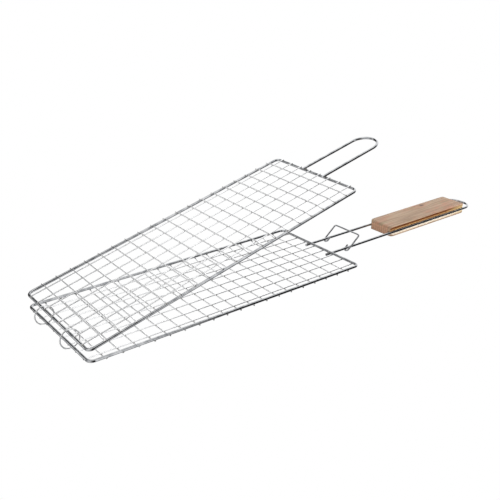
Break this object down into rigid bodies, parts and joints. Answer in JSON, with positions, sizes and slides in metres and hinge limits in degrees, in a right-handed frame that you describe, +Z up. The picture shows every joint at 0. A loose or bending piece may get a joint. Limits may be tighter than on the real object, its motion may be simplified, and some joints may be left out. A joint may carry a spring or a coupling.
{
  "type": "grill basket",
  "caption": "Folding wire grill basket: two rectangular wire grids linked by rings at one end, a long wire handle with a wooden grip, a finger loop and a sliding locking clip.",
  "frame": {"origin": "under the middle of the whole basket, on the plane that the grip's underside lies in", "axes": "+X from the hinge end to the handle end, +Y across the basket to the side that is away from a viewer with the handle on their right, +Z up"},
  "size_m": [0.6466, 0.1432, 0.1354],
  "materials": {
    "frame_wire": "bright plated steel wire",
    "mesh_wire": "bright plated thin steel wire",
    "handle_wire": "bright plated steel wire",
    "clip_wire": "bright plated steel wire",
    "ring_wire": "bright plated thin steel wire",
    "grip_wood": "sanded hardwood, thinly oiled"
  },
  "bodies": {
    "lower_half": {"lower_frame": "frame_wire", "lower_long_wire_1": "mesh_wire", "lower_long_wire_2": "mesh_wire", "lower_long_wire_3": "mesh_wire", "lower_long_wire_4": "mesh_wire", "lower_long_wire_5": "mesh_wire", "lower_long_wire_6": "mesh_wire", "lower_long_wire_7": "mesh_wire", "lower_long_wire_8": "mesh_wire", "lower_end_cross_wires": "mesh_wire", "lower_cross_wire_02": "mesh_wire", "lower_cross_wire_03": "mesh_wire", "lower_cross_wire_04": "mesh_wire", "lower_cross_wire_05": "mesh_wire", "lower_cross_wire_06": "mesh_wire", "lower_cross_wire_07": "mesh_wire", "lower_cross_wire_08": "mesh_wire", "lower_cross_wire_09": "mesh_wire", "lower_cross_wire_10": "mesh_wire", "lower_cross_wire_11": "mesh_wire", "lower_cross_wire_12": "mesh_wire", "lower_cross_wire_13": "mesh_wire", "lower_cross_wire_14": "mesh_wire", "lower_cross_wire_15": "mesh_wire", "lower_cross_wire_16": "mesh_wire", "lower_cross_wire_17": "mesh_wire", "lower_cross_wire_18": "mesh_wire", "handle_wire": "handle_wire", "handle_grip": "grip_wood"},
    "hinge_rings": {"hinge_ring_front": "ring_wire", "hinge_ring_back": "ring_wire"},
    "upper_half": {"upper_frame": "frame_wire", "upper_long_wire_1": "mesh_wire", "upper_long_wire_2": "mesh_wire", "upper_long_wire_3": "mesh_wire", "upper_long_wire_4": "mesh_wire", "upper_long_wire_5": "mesh_wire", "upper_long_wire_6": "mesh_wire", "upper_long_wire_7": "mesh_wire", "upper_long_wire_8": "mesh_wire", "upper_end_cross_wires": "mesh_wire", "upper_cross_wire_02": "mesh_wire", "upper_cross_wire_03": "mesh_wire", "upper_cross_wire_04": "mesh_wire", "upper_cross_wire_05": "mesh_wire", "upper_cross_wire_06": "mesh_wire", "upper_cross_wire_07": "mesh_wire", "upper_cross_wire_08": "mesh_wire", "upper_cross_wire_09": "mesh_wire", "upper_cross_wire_10": "mesh_wire", "upper_cross_wire_11": "mesh_wire", "upper_cross_wire_12": "mesh_wire", "upper_cross_wire_13": "mesh_wire", "upper_cross_wire_14": "mesh_wire", "upper_cross_wire_15": "mesh_wire", "upper_cross_wire_16": "mesh_wire", "upper_cross_wire_17": "mesh_wire", "upper_cross_wire_18": "mesh_wire", "loop_handle": "handle_wire"},
    "clip": {"locking_clip": "clip_wire"}
  },
  "joints": [
    {"name": "ring_swing", "type": "hinge", "parent": "lower_half", "child": "hinge_rings", "pos_m": [-0.31233, 0, 0.0089], "axis": [0, 1, 0], "range_deg": [-90, 0]},
    {"name": "lid_hinge", "type": "hinge", "parent": "hinge_rings", "child": "upper_half", "pos_m": [-0.31233, 0, 0.02224], "axis": [-0.0055, 0.9997, 0.022], "range_deg": [-166.01, 13.99]},
    {"name": "clip_slide", "type": "slide", "parent": "lower_half", "child": "clip", "axis": [1, 0, 0], "range_m": [-0.026, 0.073]}
  ]
}
